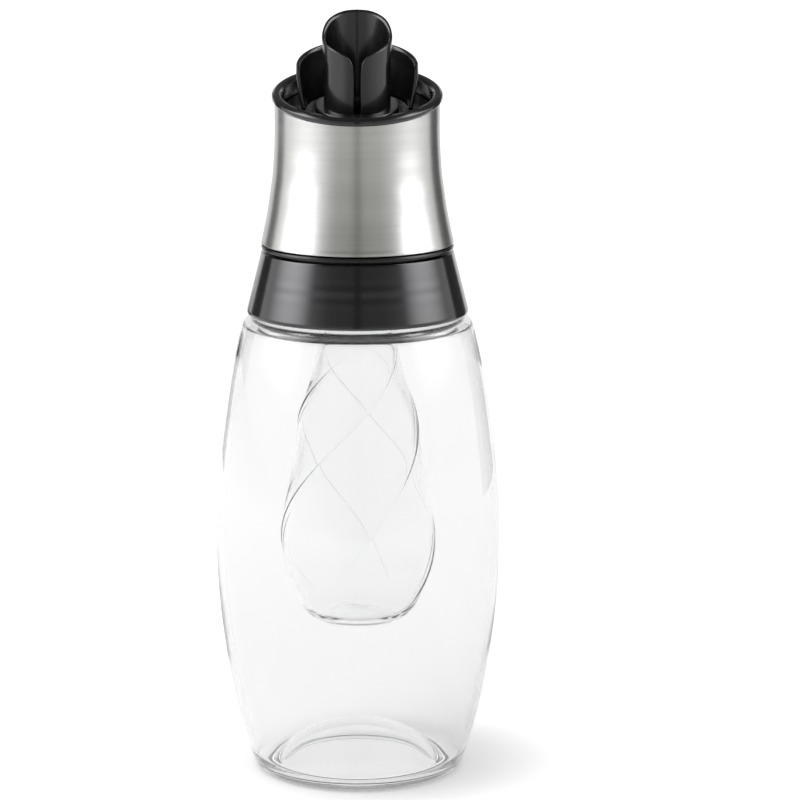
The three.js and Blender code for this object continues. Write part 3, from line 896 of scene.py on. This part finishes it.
# Painted shadow: seen directly, the paper's glow drops in a thin band round the foot.
painted_foot_shadow_range = {"Value": away, "From Min": 0.0285, "From Max": 0.0325, "To Min": 0.3, "To Max": 0}
painted_foot_shadow = shade.node("MapRange", {}, painted_foot_shadow_range, "Result")
far_range = {"Value": away, "From Min": 0.1, "From Max": 0.6, "To Min": 0.52, "To Max": 0.68}
far_glow = shade.node("MapRange", {}, far_range, "Result")
# Painted light: a glow on the paper under the punt, seen mirrored or through the glass.
painted_under_glow_range = {"Value": away, "From Min": 0.025, "From Max": 0.032, "To Min": 0.2, "To Max": 0}
painted_under_glow = shade.node("MapRange", {}, painted_under_glow_range, "Result")
# Painted shadow: a dark ring on the paper where the foot rests, seen mirrored or through the glass.
foot_ring = 0.0263
ring = shade.math("ABSOLUTE", away - foot_ring)
painted_ring_shadow_range = {"Value": ring, "From Min": 0.0006, "From Max": 0.002, "To Min": 0.68, "To Max": 0}
painted_ring_shadow = shade.node("MapRange", {}, painted_ring_shadow_range, "Result")
seen = shade.node("LightPath", output="Is Camera Ray")
mirrored = shade.node("LightPath", output="Is Glossy Ray")
through = shade.node("LightPath", output="Is Transmission Ray")
strength = seen * (near_glow - painted_foot_shadow) + (1 - seen) * (far_glow + painted_under_glow - painted_ring_shadow)
glow = shade.node("Emission", sockets={"Color": (1, 1, 1, 1), "Strength": strength})
white = shade.node("AddShader", sockets={0: matt, 1: glow})
watched = shade.math("MAXIMUM", seen, shade.math("MAXIMUM", mirrored, through))
lit = shade.node("MixShader", sockets={0: watched, 1: matt, 2: white})
shade.node("OutputMaterial", sockets={"Surface": lit})
sheet_side = 3000
sheet_reach = 6000
table_front = -500
for name, near, far in (("table", table_front, sheet_reach), ("front_sheet", -sheet_reach, table_front)):
    shape = bmesh.new()
    corners = [(-sheet_side, near, 0), (sheet_side, near, 0), (sheet_side, far, 0), (-sheet_side, far, 0)]
    shape.faces.new([shape.verts.new(corner) for corner in corners])
    sheet = settled(name, shape)
    sheet.data.materials.append(white_paper)
    if name == "front_sheet":
        sheet.visible_camera = False
        sheet.visible_diffuse = False
        sheet.visible_glossy = False
        sheet.visible_shadow = False

# Dark cards
# Grey cards stand in the gaps between the lamps and the white paper. They are only seen mirrored, and they
# draw the dark edges of the steel and the plastic.
dark_card, shade = finish("dark_card")
spot = shade.node("TexCoord", output="Object")
felt = shade.node("TexNoise", sockets={"Vector": spot, "Scale": 500.0, "Detail": 2.0})
card_stops = [(0.3, (0.12, 0.12, 0.12)), (0.7, (0.16, 0.16, 0.16))]
nap = shade.node("ValToRGB", {"stops": card_stops}, {"Fac": felt})
shade.node("OutputMaterial", sockets={"Surface": shade.node("BsdfDiffuse", sockets={"Color": nap})})
card_distance = 540
for name, first, last, low, high in (
    ("left_card", -119, -141, 100, 600),
    ("low_left_card", -143, -157, 0, 100),
    ("right_card", 119, 148, 0, 600),
):
    bearings = [math.radians(first), math.radians(last)]
    near, far = [(card_distance * math.sin(a), -card_distance * math.cos(a)) for a in bearings]
    shape = bmesh.new()
    corners = [(*near, low), (*far, low), (*far, high), (*near, high)]
    shape.faces.new([shape.verts.new(corner) for corner in corners])
    card = settled(name, shape)
    card.data.materials.append(dark_card)
    card.visible_camera = False
    card.visible_diffuse = False
    card.visible_transmission = False
    card.visible_shadow = False

# Studio light
# Two large softboxes, each with a small one above it, draw the highlights, and one high up lights the paper.
# The room is a dim grey in front and white round the back, and the glass shows a pale backdrop behind it.
lamp_aim = Vector((0, 0, 0.16))


def softbox(name, place, width, height, radiance):
    """A soft lamp that faces the head of the bottle and fades towards its edges."""
    lamp_data = bpy.data.lights.new(name, "AREA")
    lamp_data.shape = "RECTANGLE"
    lamp_data.size = width
    lamp_data.size_y = height
    lamp_data.energy = radiance * math.pi * width * height
    lamp_data.use_nodes = True
    lamp_data.node_tree.nodes.clear()
    shade = Shade(lamp_data.node_tree)
    spot = shade.node("NewGeometry", output="Parametric")
    across = shade.node("SeparateXYZ", sockets={"Vector": spot}, output="X")
    up = shade.node("SeparateXYZ", sockets={"Vector": spot}, output="Y")
    bell = shade.math("POWER", 4 * across * (1 - across), 1.5) * (4 * up * (1 - up))
    glow = shade.node("Emission", sockets={"Color": (1, 1, 1, 1), "Strength": bell})
    shade.node("OutputLight", sockets={"Surface": glow})
    lamp = bpy.data.objects.new(name, lamp_data)
    lamp.location = place
    lamp.rotation_euler = (lamp_aim - Vector(place)).to_track_quat("-Z", "Y").to_euler()
    lamp.visible_camera = False
    bpy.context.scene.collection.objects.link(lamp)
    return lamp


for name, side, radiance in (("left_softbox", -1, 5.3), ("right_softbox", 1, 4.8)):
    lamp = softbox(name, (0.79 * side, -0.14, 0.56), width=1.0, height=0.85, radiance=radiance)
    strip_place = (0.55 * side, 0.05, 0.98)
    strip = softbox("upper_" + name, strip_place, width=0.5, height=0.3, radiance=9.0)
    for light in (lamp, strip):
        light.visible_diffuse = False
        light.visible_transmission = False
top_lamp = softbox("top_softbox", (-0.45, -0.1, 0.85), width=1.2, height=1.2, radiance=2.2)
top_lamp.visible_glossy = False
top_lamp.visible_transmission = False

world = bpy.data.worlds.new("studio")
bpy.context.scene.world = world
world.use_nodes = True
world.node_tree.nodes.clear()
shade = Shade(world.node_tree)
way = shade.node("TexCoord", output="Generated")
east = shade.node("SeparateXYZ", sockets={"Vector": way}, output="X")
north = shade.node("SeparateXYZ", sockets={"Vector": way}, output="Y")
height = shade.node("SeparateXYZ", sockets={"Vector": way}, output="Z")
bearing = shade.math("ARCTAN2", east, -1 * north) * (0.5 / math.pi) + 0.5
back = (0.95, 0.95, 0.95)
left = (1.05, 1.05, 1.05)
right = (0.75, 0.75, 0.75)
front = (0.51, 0.52, 0.483)
slit = (0.12, 0.12, 0.115)
room_stops = [
    (0, back),
    (0.25, left),
    (0.355, left),
    (0.415, front),
    (0.488, front),
    (0.493, slit),
    (0.507, slit),
    (0.512, front),
    (0.585, front),
    (0.645, right),
    (0.75, right),
    (1, back),
]
room = shade.node("ValToRGB", {"stops": room_stops}, {"Fac": bearing})
ceiling = shade.node("MapRange", {}, {"Value": height, "From Min": 0.25, "From Max": 0.36}, "Result")
dimmed = shade.node("Mix", {"data_type": "RGBA"}, {0: ceiling, 6: room, 7: (0.12, 0.12, 0.12, 1)}, 2)
seen = shade.node("LightPath", output="Is Camera Ray")
through = shade.node("LightPath", output="Is Transmission Ray")
scattered = shade.math("MINIMUM", shade.node("LightPath", output="Diffuse Depth"), 1)
clear_view = 0.9 * through * (1 - scattered)
shade_bearing = 0.361
aside = shade.math("ABSOLUTE", shade.math("ABSOLUTE", bearing - 0.5) - shade_bearing)
backdrop_range = {"Value": aside, "From Min": 0, "From Max": 0.045, "To Min": 0.5, "To Max": 0.84}
backdrop = shade.node("MapRange", {"interpolation_type": "SMOOTHSTEP"}, backdrop_range, "Result")
behind = shade.node("Mix", {"data_type": "RGBA"}, {0: clear_view, 6: dimmed, 7: backdrop}, 2)
surround = shade.node("Mix", {"data_type": "RGBA"}, {0: seen, 6: behind, 7: (1, 1, 1, 1)}, 2)
shade.node("OutputWorld", sockets={"Surface": shade.node("Background", sockets={"Color": surround})})

# Camera
# It looks down at the bottle from a metre away, with the bottle a little left of the middle of the frame.
# The light may be bent and mirrored often, so that the edges of the glass stay clear.
downward = 11.71
leaning = -0.12
camera_place = (0, -1, 0.319)
camera_data = bpy.data.cameras.new("camera")
camera_data.sensor_width = 36
camera_data.lens = 154.8
camera_data.shift_x = 0.0527
camera = bpy.data.objects.new("camera", camera_data)
tilt = Matrix.Rotation(math.radians(90 - downward), 4, "X")
roll = Matrix.Rotation(math.radians(leaning), 4, "Z")
camera.matrix_world = Matrix.Translation(camera_place) @ tilt @ roll
bpy.context.scene.collection.objects.link(camera)
bpy.context.scene.camera = camera
bpy.context.scene.view_settings.view_transform = "Standard"
bpy.context.scene.cycles.max_bounces = 32
bpy.context.scene.cycles.glossy_bounces = 24
bpy.context.scene.cycles.transmission_bounces = 32
